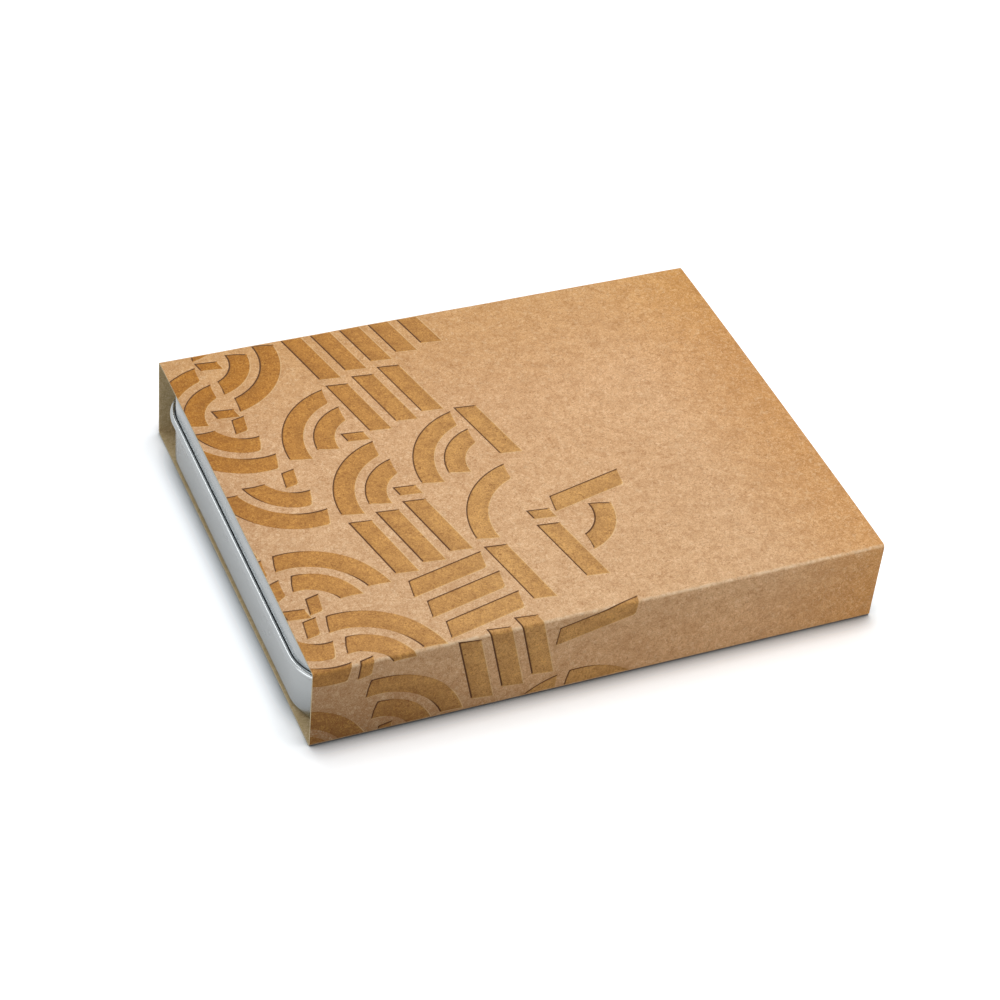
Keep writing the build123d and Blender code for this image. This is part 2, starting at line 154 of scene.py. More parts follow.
def kraftPattern(tree, base, dark, pale, tones=()):  # unbleached pulp with darker and paler fibres
    look = kraftLook
    place = add(tree, "TexCoord").outputs["Object"]

    def pulp(size, detail=2.0, distortion=0.0, roughness=0.5):
        return add(tree, "TexNoise", {"Vector": place, "Scale": 1 / (size * mm), "Detail": detail,
                                      "Roughness": roughness, "Distortion": distortion}).outputs[0]

    def levels(value, low, high, start=0.0, end=1.0):
        return add(tree, "MapRange", {0: value, 1: low, 2: high, 3: start, 4: end}).outputs[0]

    def mixed(factor, first, second):
        return add(tree, "Mix", {0: factor, 6: first, 7: second}, data_type="RGBA").outputs[2]

    flecks = pulp(look["flecks"], 3, 1.6, 0.62)
    specks = pulp(look["specks"], 2, 0.4, 0.6)
    threads = []
    for stretch in (1.0, 0.7):
        field = pulp(look["fibres"] * stretch, 2, 1.6)
        middle = add(tree, "Math", {0: field, 1: 0.5}, operation="SUBTRACT").outputs[0]
        away = add(tree, "Math", {0: middle}, operation="ABSOLUTE").outputs[0]
        broken = levels(pulp(look["fibres"] * stretch * 0.6, 1), 0.5, 0.6)
        line = levels(away, 0.0, look["threadWidth"], 1.0, 0.0)
        threads.append(add(tree, "Math", {0: line, 1: broken}, operation="MULTIPLY").outputs[0])
    colour = linear(base)
    for direction, start, end, share, tone in tones:
        along = add(tree, "VectorMath", {0: place, 1: direction}, operation="DOT_PRODUCT").outputs["Value"]
        colour = mixed(levels(along, start * mm, end * mm, 0.0, share), colour, linear(tone))
    mottle, clouds = pulp(look["mottle"], 3), pulp(look["clouds"], 1)
    layers = ((flecks, 0.6, 0.3, look["darkFlecks"], dark), (flecks, 0.52, 0.76, look["paleFlecks"], pale),
              (mottle, 0.4, 0.64, look["darkMottle"], dark), (clouds, 0.42, 0.62, look["darkClouds"], dark),
              (threads[0], 0.0, 1.0, look["darkThreads"], dark),
              (threads[1], 0.0, 1.0, look["paleThreads"], pale),
              (specks, 0.64, 0.72, look["darkSpecks"], dark))
    for layer, none, full, share, tone in layers:  # where a layer begins to show and where it is full
        colour = mixed(levels(layer, none, full, 0.0, share), colour, linear(tone))
    return colour, flecks, mixed, levels, pulp


def kraftCard():  # kraft board, calendered on one side: dry and matt, pale where a fold is rubbed
    material, tree, shader = newMaterial("kraftBoard", {"Roughness": 0.82, "IOR": 1.47})
    colour, flecks, mixed, levels, pulp = kraftPattern(tree, "#E1B384", "#9A6630", "#EFD5B0", cardTones)
    rubbed = add(tree, "Attribute", attribute_name="fold").outputs["Fac"]
    frayed = levels(pulp(1.6, 3, 0.5), 0.36, 0.7, 0.15, 0.6)
    wear = add(tree, "Math", {0: rubbed, 1: frayed}, operation="MULTIPLY").outputs[0]
    colour = mixed(wear, colour, linear("#F1DDBD"))
    tree.links.new(colour, shader.inputs["Base Color"])
    bump = add(tree, "Bump", {"Height": flecks, "Distance": 0.32 * mm, "Strength": 0.6})
    tree.links.new(bump.outputs[0], shader.inputs["Normal"])
    return material


def kraftInside():  # the board's uncoated back: duller and a little greyer
    material, tree, shader = newMaterial("kraftBoardInside", {"Roughness": 0.9, "IOR": 1.47})
    colour, flecks, *_ = kraftPattern(tree, "#D2BB90", "#9A8256", "#DFCFAC")
    tree.links.new(colour, shader.inputs["Base Color"])
    bump = add(tree, "Bump", {"Height": flecks, "Distance": 0.04 * mm, "Strength": 0.6})
    tree.links.new(bump.outputs[0], shader.inputs["Normal"])
    return material


def kraftEdge():  # die-cut edge of the board: layers of pulp, paler where fibres stand up
    material, tree, shader = newMaterial("kraftBoardCutEdge", {"Roughness": 0.92, "IOR": 1.47})
    colour, flecks, *_ = kraftPattern(tree, "#E2D2AC", "#B9A47C", "#EEE2C4")
    tree.links.new(colour, shader.inputs["Base Color"])
    bump = add(tree, "Bump", {"Height": flecks, "Distance": 0.05 * mm, "Strength": 0.8})
    tree.links.new(bump.outputs[0], shader.inputs["Normal"])
    return material


def amberInk():  # transparent amber offset ink on kraft, with a printed brown shade line
    material, tree, shader = newMaterial("amberOffsetInk", {"Roughness": 0.72, "Specular IOR Level": 0.3})
    colour, flecks, mixed, levels, _ = kraftPattern(tree, "#BA7B25", "#733F08", "#E0AA58", inkTones)
    shade = add(tree, "Attribute", attribute_name="shade").outputs["Fac"]
    colour = mixed(levels(shade, 0.0, 0.3, 0.0, 0.22), colour, linear("#6E4413"))
    colour = mixed(levels(shade, 0.35, 0.6), colour, linear("#4F2C06"))
    colour = mixed(levels(shade, -0.9, -0.5, 0.55, 0.0), colour, linear("#F3D7A8"))
    tree.links.new(colour, shader.inputs["Base Color"])
    bump = add(tree, "Bump", {"Height": flecks, "Distance": 0.12 * mm, "Strength": 0.5})
    tree.links.new(bump.outputs[0], shader.inputs["Normal"])
    return material


# materials: metals

def tinplate():  # cold-rolled tinplate with a satin lacquer: grey, soft and evenly blurred
    material, tree, shader = newMaterial("satinTinplate", {"Metallic": 1.0})
    place = add(tree, "TexCoord").outputs["Object"]
    rolled = add(tree, "Mapping", {"Vector": place, "Scale": (0.08, 1.0, 1.0)}).outputs[0]
    grain = add(tree, "TexNoise", {"Vector": rolled, "Scale": 1 / (0.5 * mm), "Detail": 3}).outputs[0]
    handled = add(tree, "TexNoise", {"Vector": place, "Scale": 1 / (22 * mm), "Detail": 3}).outputs[0]
    tone = add(tree, "Mix", {0: handled, 6: linear("#B0B4B6"), 7: linear("#B6BABB")},
               data_type="RGBA").outputs[2]
    tree.links.new(tone, shader.inputs["Base Color"])
    blur = add(tree, "MapRange", {0: handled, 1: 0.3, 2: 0.7, 3: 0.23, 4: 0.28}).outputs[0]
    tree.links.new(blur, shader.inputs["Roughness"])
    bump = add(tree, "Bump", {"Height": grain, "Distance": 0.003 * mm, "Strength": 0.2})
    tree.links.new(bump.outputs[0], shader.inputs["Normal"])
    return material


def brightSteel(name, colour, roughness, grainSize):  # polished or drawn steel with fine lines
    material, tree, shader = newMaterial(name, {"Metallic": 1.0})
    place = add(tree, "TexCoord").outputs["Object"]
    drawn = add(tree, "Mapping", {"Vector": place, "Scale": (0.05, 1.0, 1.0)}).outputs[0]
    lines = add(tree, "TexNoise", {"Vector": drawn, "Scale": 1 / (grainSize * mm), "Detail": 4}).outputs[0]
    tone = add(tree, "Mix", {0: lines, 6: linear(colour), 7: linear("#D8D6D0")},
               data_type="RGBA").outputs[2]
    tree.links.new(tone, shader.inputs["Base Color"])
    blur = add(tree, "MapRange", {0: lines, 3: roughness * 0.8, 4: roughness * 1.3}).outputs[0]
    tree.links.new(blur, shader.inputs["Roughness"])
    return material


# materials: plastics, foam and paper

def mouldedPlastic(name, colour, roughness, texture):  # injection moulded, spark-eroded or gloss
    material, tree, shader = newMaterial(name, {"IOR": 1.52})
    place = add(tree, "TexCoord").outputs["Object"]
    pits = add(tree, "TexNoise", {"Vector": place, "Scale": 1 / (texture * mm), "Detail": 2}).outputs[0]
    smears = add(tree, "TexNoise", {"Vector": place, "Scale": 1 / (9 * mm), "Detail": 3}).outputs[0]
    tone = add(tree, "Mix", {0: smears, 6: linear(colour), 7: linear("#3A3A3C")},
               data_type="RGBA").outputs[2]
    faint = add(tree, "Mix", {0: 0.12, 6: linear(colour), 7: tone}, data_type="RGBA").outputs[2]
    tree.links.new(faint, shader.inputs["Base Color"])
    blur = add(tree, "MapRange", {0: smears, 3: roughness * 0.8, 4: roughness * 1.2}).outputs[0]
    tree.links.new(blur, shader.inputs["Roughness"])
    bump = add(tree, "Bump", {"Height": pits, "Distance": 0.01 * mm, "Strength": 0.3})
    tree.links.new(bump.outputs[0], shader.inputs["Normal"])
    return material


def blackFoam():  # closed-cell polyethylene foam, knife cut: matt, with open cells at the cut
    material, tree, shader = newMaterial("closedCellFoam", {"Roughness": 0.95, "IOR": 1.45})
    place = add(tree, "TexCoord").outputs["Object"]
    cells = add(tree, "TexVoronoi", {"Vector": place, "Scale": 1 / (0.8 * mm)}).outputs["Distance"]
    tone = add(tree, "Mix", {0: cells, 6: linear("#0E0E0F"), 7: linear("#2E2E30")},
               data_type="RGBA").outputs[2]
    tree.links.new(tone, shader.inputs["Base Color"])
    bump = add(tree, "Bump", {"Height": cells, "Distance": 0.15 * mm, "Strength": 0.7})
    tree.links.new(bump.outputs[0], shader.inputs["Normal"])
    return material


def whitePaper():  # uncoated offset paper: off white, faintly cloudy
    material, tree, shader = newMaterial("uncoatedPaper", {"Roughness": 0.9, "IOR": 1.47})
    place = add(tree, "TexCoord").outputs["Object"]
    cloud = add(tree, "TexNoise", {"Vector": place, "Scale": 1 / (3 * mm), "Detail": 4}).outputs[0]
    tone = add(tree, "Mix", {0: cloud, 6: linear("#E9E6DC"), 7: linear("#F4F2EA")},
               data_type="RGBA").outputs[2]
    tree.links.new(tone, shader.inputs["Base Color"])
    bump = add(tree, "Bump", {"Height": cloud, "Distance": 0.02 * mm, "Strength": 0.3})
    tree.links.new(bump.outputs[0], shader.inputs["Normal"])
    return material


cardOuter, cardInner, cardCut, ink = kraftCard(), kraftInside(), kraftEdge(), amberInk()
tin = tinplate()
wire = brightSteel("drawnSteelWire", "#9B9B98", 0.3, 0.3)
nibSteel = brightSteel("polishedNibSteel", "#C9C7C1", 0.16, 0.2)
glossBlack = mouldedPlastic("glossBlackResin", "#0B0B0C", 0.14, 2.0)
mattBlack = mouldedPlastic("mattBlackResin", "#151516", 0.5, 0.3)
inkPlastic = mouldedPlastic("inkFilledPolyethylene", "#0B1530", 0.3, 1.0)
foamBlack, paper = blackFoam(), whitePaper()
print("materials made")


# card sleeve

sleeveValues = {
    "inside": 0.03 * mm,  # outer face in from the CAD box, room for the ink on it
    "endInside": 0.003 * mm,  # the same at the open ends
    "card": 0.5 * mm,
    "fold": 0.95 * mm,  # outside radius of a scored fold
    "foldSegments": 10,
    "columns": 84,
    "panelRows": 44,
    "sideRows": 9,
    "dome": 0.5 * mm,  # the top panel stands higher in the middle than at its folds
    "wander": 0.1 * mm,  # slow unevenness of a flat panel
    "foldWander": 0.12 * mm,  # a scored fold is never quite straight
    "slowWaves": 22,  # per metre, along a panel
    "foldWaves": 70,  # per metre, along a fold
    "domeShape": 3,  # powers: how flat the dome is, and how close to a fold its unevenness keeps
    "topShape": 8,
    "sideShape": 24,
}
cardLow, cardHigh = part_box("card_sleeve")
cardLow = cardLow + Vector((sleeveValues["endInside"], sleeveValues["inside"], 0))
cardHigh = cardHigh - Vector((sleeveValues["endInside"], sleeveValues["inside"], sleeveValues["inside"]))


def cardDip(place):  # how far the card at a place lies inside its plain box shape
    values = sleeveValues
    middleY, middleZ = (cardLow.y + cardHigh.y) / 2, (cardLow.z + cardHigh.z) / 2
    acrossTop = (place.y - middleY) / (cardHigh.y - cardLow.y) * 2
    upSide = (place.z - middleZ) / (cardHigh.z - cardLow.z) * 2
    onTop = max(0.0, upSide) ** values["topShape"]
    onSide = abs(acrossTop) ** values["sideShape"]
    span = max(0.0, 1 - abs(acrossTop) ** values["domeShape"])
    slow = noise.noise(place * values["slowWaves"] + Vector((3.1, 0.4, 7.7))) * 0.5 + 0.5
    fine = noise.noise(Vector((place.x * values["foldWaves"], 5.2, 1.7))) * 0.5 + 0.5
    down = (upSide + 1) / 2 * values["dome"] * (1 - span) + onTop * values["wander"] * slow * span
    down += onTop * onSide * values["foldWander"] * fine
    inward = onSide * values["wander"] * slow * max(0.0, 1 - upSide ** 2)
    inward += onTop * onSide * values["foldWander"] * fine
    return Vector((0, -math.copysign(inward, acrossTop), -down))


def selectNone(piece):
    bpy.ops.object.mode_set(mode="OBJECT")
    for part in (*piece.data.vertices, *piece.data.edges, *piece.data.polygons):
        part.select = False


def selectEdges(piece, test):  # edges in edit mode whose two ends pass the test
    selectNone(piece)
    for edge in piece.data.edges:
        edge.select = test(*[piece.data.vertices[i].co for i in edge.vertices])
    bpy.context.tool_settings.mesh_select_mode = (False, True, False)
    bpy.ops.object.mode_set(mode="EDIT")


def selectFaces(piece, test):  # faces in edit mode that pass the test
    selectNone(piece)
    for face in piece.data.polygons:
        face.select = test(face)
    bpy.context.tool_settings.mesh_select_mode = (False, False, True)
    bpy.ops.object.mode_set(mode="EDIT")


def makeSleeve():
    values = sleeveValues
    bpy.ops.mesh.primitive_cube_add(size=1, location=(cardLow + cardHigh) / 2)
    sleeve = bpy.context.object
    sleeve.name = sleeve.data.name = "kraftSleeve"
    sleeve.scale = cardHigh - cardLow
    bpy.ops.object.transform_apply(location=True, rotation=True, scale=True)

    selectEdges(sleeve, lambda a, b: abs(a.x - b.x) > 1 * mm)
    bpy.ops.mesh.bevel(offset=values["fold"], segments=values["foldSegments"], affect="EDGES")
    selectFaces(sleeve, lambda face: abs(face.normal.x) > 0.9)
    bpy.ops.mesh.delete(type="ONLY_FACE")

    long = (cardHigh.y - cardLow.y) / 2
    tall = (cardHigh.z - cardLow.z) / 2
    selectEdges(sleeve, lambda a, b: abs(a.x - b.x) > 1 * mm)
    bpy.ops.mesh.subdivide(number_cuts=values["columns"])
    selectEdges(sleeve, lambda a, b: abs(a.y - b.y) > long)
    bpy.ops.mesh.subdivide(number_cuts=values["panelRows"])
    selectEdges(sleeve, lambda a, b: abs(a.z - b.z) > tall)
    bpy.ops.mesh.subdivide(number_cuts=values["sideRows"])
    bpy.ops.object.mode_set(mode="OBJECT")

    fold = sleeve.data.attributes.new("fold", "FLOAT", "POINT")
    for vertex in sleeve.data.vertices:
        outY = abs(vertex.co.y - (cardLow.y + cardHigh.y) / 2) - (long - values["fold"])
        outZ = abs(vertex.co.z - (cardLow.z + cardHigh.z) / 2) - (tall - values["fold"])
        rounding = max(0.0, min(outY, outZ)) / values["fold"]
        fold.data[vertex.index].value = min(1.0, rounding * 1.5)
        vertex.co += cardDip(vertex.co)

    dress(sleeve, cardOuter, cardInner, cardCut)
    applyModifier(sleeve, "SOLIDIFY", thickness=values["card"], offset=-1, use_even_offset=True,
                  material_offset=1, material_offset_rim=2)
    return sleeve


flapValues = {
    "height": 19.5 * mm,
    "endInset": 3 * mm,
    "chamfer": 12 * mm,
    "edge": 0.12 * mm,
    "pressed": 0.025 * mm,  # glued into the panel's face
}


def makeFlap():  # glue flap turned up inside the back panel
    values = flapValues
    card = sleeveValues["card"]
    size = Vector((cardHigh.x - cardLow.x - 2 * values["endInset"], card, values["height"]))
    corner = Vector((0, cardHigh.y - card * 1.5 + values["pressed"], cardLow.z + card))
    bpy.ops.mesh.primitive_cube_add(size=1, location=corner + Vector((0, 0, size.z / 2)))
    flap = bpy.context.object
    flap.name = flap.data.name = "glueFlap"
    flap.scale = size
    bpy.ops.object.transform_apply(location=True, rotation=True, scale=True)
    selectEdges(flap, lambda a, b: min(a.z, b.z) > corner.z + size.z * 0.9)
    shorten = 1 - 2 * values["chamfer"] / size.x
    bpy.ops.transform.resize(value=(shorten, 1, 1))
    bpy.ops.object.mode_set(mode="OBJECT")
    applyModifier(flap, "BEVEL", width=values["edge"], segments=2)
    dress(flap, cardInner)
    return flap


sleeve = joined("kraftSleeve", [makeSleeve(), makeFlap()])
activate(sleeve)
bpy.ops.object.shade_smooth_by_angle(angle=math.radians(40))
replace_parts(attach(sleeve, "sleeve"), "card_sleeve")
print("card sleeve folded")


# printed ornament: quarter rings and bars on a slanted square net, dying out to the right

printValues = {
    "cell": 27.0 * mm,
    "netTurn": math.radians(13),
    "netStart": Vector((-88 * mm, 4 * mm)),
    "bands": (4.5 * mm, 13.5 * mm, 22.5 * mm),  # middle of each band, from the cell's corner
    "width": 6.4 * mm,
    "gap": 1.5 * mm,  # bare card at each end of a band
    "slant": 0.36,  # ends are cut at a slant, as by a broad pen
    "shadeLine": 0.7 * mm,
    "shadeFrom": Vector((-0.62, 0.78)),  # brown line on the left and far edges, pale on the others
    "innerShade": 0.22,  # soft shade beside the brown line
    "block": 4.2 * mm,  # short piece in the inner corner of a ring cell
    "blockOut": 3.6 * mm,
    "blockIn": 0.6 * mm,
    "gridStep": 1.2 * mm,  # length of one face along a band
    "cells": (range(-2, 7), range(-4, 8)),  # of the net, along and across it
    "ringCells": 0.68,  # share of cells that hold rings, and not bars
    "reach": 2 * mm,  # where the bands begin to drop out
    "fade": 22 * mm,  # and over what length
    "scatter": 0.9,
    "beyond": (16 * mm, 45 * mm, 20 * mm),  # made past the card's left, front and back edges
    "cutWithin": 0.001 * mm,
    "lift": 0.02 * mm,
    "film": 0.012 * mm,
    "seed": 11,
}
foldLength = sleeveValues["fold"] * math.pi / 2
topEnd = cardHigh.y - cardLow.y - 2 * sleeveValues["fold"] + foldLength / 2
frontEnd = cardHigh.z - cardLow.z - 2 * sleeveValues["fold"] + foldLength / 2


def foldedPlace(x, back, lift):  # a point of the flat card, back from the front fold, on the sleeve
    radius = sleeveValues["fold"]
    centreY, centreZ = cardLow.y + radius, cardHigh.z - radius
    turn = min(max(back / radius + math.pi / 4, 0.0), math.pi / 2)
    place = Vector((x, centreY - math.cos(turn) * radius, centreZ + math.sin(turn) * radius))
    outwards = Vector((0, -math.cos(turn), math.sin(turn)))
    if back > foldLength / 2:
        place.y += back - foldLength / 2
    elif back < -foldLength / 2:
        place.z += back + foldLength / 2
    return place + cardDip(place) + outwards * lift


def barLine(start, direction):
    side = Vector((-direction.y, direction.x))
    return lambda along, across: start + direction * along + side * across


def ringLine(centre, radius, startAngle):
    def place(along, across):
        angle = startAngle + along / radius
        return centre + Vector((math.cos(angle), math.sin(angle))) * (radius - across)
    return place


def band(line, length):  # one band of ink as a flat grid, with its shade line as an attribute
    values = printValues
    columns = max(6, round(length / values["gridStep"]))
    rows, half, rim = 4, values["width"] / 2, values["shadeLine"]
    across = [-half, -half + rim, 0, half - rim, half]
    inner = [rim + (length - 2 * rim) * i / (columns - 2) for i in range(columns - 1)]
    along = [0, *inner, length]
    bpy.ops.mesh.primitive_grid_add(x_subdivisions=columns, y_subdivisions=rows, size=1)
    piece = bpy.context.object

    def flat(column, row):
        return line(along[column] + across[row] * values["slant"], across[row])

    shade = piece.data.attributes.new("shade", "FLOAT", "POINT")
    for vertex in piece.data.vertices:
        column = round((vertex.co.x + 0.5) * columns)
        row = round((vertex.co.y + 0.5) * rows)
        place = flat(column, row)
        facing = []
        if row in (0, rows):
            facing.append(place - flat(column, 1 if row == 0 else rows - 1))
        if column in (0, columns):
            facing.append(place - flat(1 if column == 0 else columns - 1, row))
        lit = [out.normalized().dot(values["shadeFrom"]) * 2 for out in facing]
        inside = values["innerShade"] if row == rows - 1 or column == 1 else 0.0
        shade.data[vertex.index].value = max(-1.0, min(1.0, max(lit, key=abs, default=inside)))
        vertex.co = (place.x, place.y, 0)
    return piece


def cellBands(cell, turn, rings):  # two quarter rings round a block, or three bars, in one cell
    values = printValues
    size, gap = values["cell"], values["gap"]
    axis = Vector((math.cos(values["netTurn"]), math.sin(values["netTurn"])))
    side = Vector((-axis.y, axis.x))
    for quarter in range(turn):
        axis, side = side, -axis
    corner = cell - (axis + side) * size / 2
    for middle in values["bands"]:
        if not rings:
            yield barLine(corner + side * middle + axis * gap, axis), size - 2 * gap
        elif middle < values["width"]:
            start = corner + side * values["blockOut"] + axis * values["blockIn"]
            yield barLine(start, axis), values["block"]
        else:
            start = math.atan2(axis.y, axis.x) + gap / middle
            yield ringLine(corner, middle, start), middle * math.pi / 2 - 2 * gap


def makeOrnament():
    values = printValues
    pick = random.Random(values["seed"])
    axis = Vector((math.cos(values["netTurn"]), math.sin(values["netTurn"])))
    side = Vector((-axis.y, axis.x))
    leftOff, frontOff, backOff = values["beyond"]
    bands = []
    for i in values["cells"][0]:
        for j in values["cells"][1]:
            cell = values["netStart"] + (axis * i + side * j) * values["cell"]
            turn, rings = pick.randrange(4), pick.random() < values["ringCells"]
            for line, length in cellBands(cell, turn, rings):
                middle = line(length / 2, 0)
                scatter = pick.uniform(-values["scatter"], values["scatter"])
                drop = (middle.x - values["reach"]) / values["fade"] + scatter
                onCard = -frontOff < middle.y < topEnd + backOff
                if drop < 0 and onCard and middle.x >= cardLow.x - leftOff:
                    bands.append(band(line, length))
    ornament = joined("printedOrnament", bands)
    clipOrnament(ornament)
    for vertex in ornament.data.vertices:
        vertex.co = foldedPlace(vertex.co.x, vertex.co.y, values["lift"])
    applyModifier(ornament, "SOLIDIFY", thickness=values["film"], offset=-1)
    activate(ornament)
    bpy.ops.object.shade_smooth_by_angle(angle=math.radians(40))
    dress(ornament, ink)
    print("ornament:", len(bands), "bands")
    return ornament


def clipOrnament(ornament):  # cut off at the card's edges, with edges laid along the front fold
    activate(ornament)
    bpy.ops.object.mode_set(mode="EDIT")
    cutWithin = printValues["cutWithin"]
    trims = (((cardLow.x, 0, 0), (-1, 0, 0)), ((0, topEnd, 0), (0, 1, 0)),
             ((0, -frontEnd, 0), (0, -1, 0)))
    for point, normal in trims:
        bpy.ops.mesh.select_all(action="SELECT")
        bpy.ops.mesh.bisect(plane_co=point, plane_no=normal, threshold=cutWithin, clear_outer=True)
    steps = sleeveValues["foldSegments"]
    for step in range(steps + 1):
        bpy.ops.mesh.select_all(action="SELECT")
        back = foldLength * (step / steps - 0.5)
        bpy.ops.mesh.bisect(plane_co=(0, back, 0), plane_no=(0, 1, 0), threshold=cutWithin)
    bpy.ops.object.mode_set(mode="OBJECT")


ornament = makeOrnament()
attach(ornament, "sleeve")


# tin

tinValues = {  # millimetres, degrees and counts
    "sheet": 0.3, "corner": 15.0, "cornerSteps": 18,
    "foot": 2.0, "footWidth": 4.0, "floorRaise": 0.8,
    "shoulder": 15.7, "shoulderRise": 0.7, "neckIn": 0.6, "hemDepth": 2.0, "hemGap": 0.06,
    "topEdge": 1.2, "border": 6.0, "raise": 0.4, "step": 1.0,
    "roll": 0.95, "rollHeight": 17.3, "rollTurn": 295, "rollSteps": 24,
    "hingeSpacing": 96.0, "knuckle": 12.0, "knuckleGap": 0.3, "notch": 0.35, "tab": 1.0,
    "mergeWithin": 0.001,
}
baseLow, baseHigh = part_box("tin_base")
lidLow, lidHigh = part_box("tin_lid")
tinFoot = baseLow.z / mm
tinHeight = (lidHigh.z - baseLow.z) / mm
wallX = baseHigh.x / mm
wallFront = baseLow.y / mm
rollOut = 2 * tinValues["roll"] - tinValues["sheet"]
wallBack = lidHigh.y / mm - rollOut
wallY, tinMiddle = (wallBack - wallFront) / 2, (wallBack + wallFront) / 2


def bend(centre, radius, start, turn, steps):  # points in the middle of the sheet round a bend
    middle = radius - tinValues["sheet"] / 2
    angles = [math.radians(start + turn * step / steps) for step in range(steps + 1)]
    return [(centre[0] + middle * math.cos(a), centre[1] + middle * math.sin(a)) for a in angles]


def pressedStep(start, end, steps=6):  # a soft S between two levels of the sheet
    points = []
    for step in range(steps + 1):
        share = step / steps
        rise = (1 - math.cos(math.pi * share)) / 2
        points.append((start[0] + (end[0] - start[0]) * share,
                       start[1] + (end[1] - start[1]) * rise))
    return points


def wrapSheet(name, section):  # a section in (out from the wall, up) carried round the tin
    values = tinValues
    columns = 4 * (values["cornerSteps"] + 1)
    rows = len(section) - 1
    bpy.ops.mesh.primitive_grid_add(x_subdivisions=columns, y_subdivisions=rows, size=1)
    piece = bpy.context.object
    piece.name = piece.data.name = name
    quarters = ((1, 1), (-1, 1), (-1, -1), (1, -1))
    for vertex in piece.data.vertices:
        column = round((vertex.co.x + 0.5) * columns) % columns
        out, up = section[round((vertex.co.y + 0.5) * rows)]
        quarter, step = divmod(column, values["cornerSteps"] + 1)
        angle = math.radians(90) * (quarter + step / values["cornerSteps"])
        signX, signY = quarters[quarter]
        radius = values["corner"] + out
        x = signX * (wallX - values["corner"]) + radius * math.cos(angle)
        y = tinMiddle + signY * (wallY - values["corner"]) + radius * math.sin(angle)
        vertex.co = Vector((x, y, tinFoot + up)) * mm
    activate(piece)
    bpy.ops.object.mode_set(mode="EDIT")
    bpy.ops.mesh.select_all(action="SELECT")
    bpy.ops.mesh.remove_doubles(threshold=values["mergeWithin"] * mm)
    inner = section[0]
    level = (tinFoot + inner[1]) * mm
    reach = (wallX + inner[0] + 0.01) * mm
    selectEdges(piece, lambda a, b: max(abs(a.z - level), abs(b.z - level)) < 0.01 * mm
                and max(abs(a.x), abs(b.x)) < reach
                and max(offWall(a), offWall(b)) < inner[0] + 0.05)
    bpy.ops.mesh.edge_face_add()
    bpy.ops.mesh.select_all(action="SELECT")
    bpy.ops.mesh.normals_make_consistent(inside=False)
    bpy.ops.object.mode_set(mode="OBJECT")
    return piece


def offWall(place):  # how far a place lies outside the tin's wall, in millimetres
    x = abs(place.x) / mm - (wallX - tinValues["corner"])
    y = abs(place.y / mm - tinMiddle) - (wallY - tinValues["corner"])
    if x > 0 and y > 0:
        return math.hypot(x, y) - tinValues["corner"]
    return max(x, y) - tinValues["corner"]


def thickened(piece):
    applyModifier(piece, "SOLIDIFY", thickness=tinValues["sheet"] * mm, offset=0)
    activate(piece)
    bpy.ops.object.shade_smooth_by_angle(angle=math.radians(35))
    return piece


def hingePlaces():
    return [side * tinValues["hingeSpacing"] / 2 for side in (-1, 1)]


def makeKnuckle(x):  # tab of the base wall, rolled round the hinge pin
    values = tinValues
    wall = wallY - values["sheet"] / 2
    rollCentre = (wallY + values["roll"] - values["sheet"], values["rollHeight"])
    section = [(wall, values["shoulder"] - values["tab"])]
    section += bend(rollCentre, values["roll"], 180, -values["rollTurn"], values["rollSteps"])
    rows = len(section) - 1
    bpy.ops.mesh.primitive_grid_add(x_subdivisions=1, y_subdivisions=rows, size=1)
    piece = bpy.context.object
    piece.name = piece.data.name = "knuckle"
    for vertex in piece.data.vertices:
        out, up = section[round((vertex.co.y + 0.5) * rows)]
        vertex.co = Vector((x + vertex.co.x * values["knuckle"], tinMiddle + out, tinFoot + up)) * mm
    return thickened(piece)


def makeBase():
    values = tinValues
    half = values["sheet"] / 2
    floor = values["floorRaise"] + half
    footInner = -values["foot"] - values["footWidth"]
    rim = tinHeight - values["raise"] - 2 * values["sheet"] - half
    neck = -values["neckIn"] - half
    hem = neck - values["sheet"] - values["hemGap"]
    section = pressedStep((footInner - values["step"], floor), (footInner, half))
    section += bend((-values["foot"], values["foot"]), values["foot"], -90, 90, 10)
    section += pressedStep((-half, values["shoulder"]),
                           (neck, values["shoulder"] + values["shoulderRise"]), 4)
    section += [(neck, rim - half), (neck - half, rim), (hem + half, rim), (hem, rim - half)]
    section += [(hem, rim - values["hemDepth"])]
    tray = thickened(wrapSheet("tinBase", section))
    return joined("tinBase", [tray, *[makeKnuckle(x) for x in hingePlaces()]])


def makeLid():
    values = tinValues
    half = values["sheet"] / 2
    border = tinHeight - values["raise"]
    section = pressedStep((-values["border"] - values["step"], tinHeight - half),
                          (-values["border"], border - half))
    section += bend((-values["topEdge"], border - values["topEdge"]), values["topEdge"], 90, -90, 8)
    section += bend((values["roll"] - values["sheet"], values["rollHeight"]), values["roll"],
                    180, values["rollTurn"], values["rollSteps"])
    lid = thickened(wrapSheet("tinLid", section))
    notchSize = 2 * (values["roll"] + values["notch"])
    hingeY = tinMiddle + wallY + values["roll"] - values["sheet"]
    for x in hingePlaces():
        place = Vector((x, hingeY, tinFoot + values["rollHeight"])) * mm
        bpy.ops.mesh.primitive_cube_add(size=1, location=place)
        notch = bpy.context.object
        notch.scale = Vector((values["knuckle"] + 2 * values["knuckleGap"], notchSize, notchSize)) * mm
        bpy.ops.object.transform_apply(location=True, rotation=True, scale=True)
        applyModifier(lid, "BOOLEAN", object=notch, operation="DIFFERENCE", solver="EXACT")
        bpy.data.objects.remove(notch)
    return lid


for piece, body, node in ((makeBase(), "tin", "tin_base"), (makeLid(), "lid", "tin_lid")):
    dress(piece, tin)
    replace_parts(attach(piece, body), node)
print("tin drawn and rolled")


# foam, in the tin and under its lid

foamValues = {"edge": 0.5 * mm, "edgeSegments": 3, "mergeWithin": 0.005 * mm}


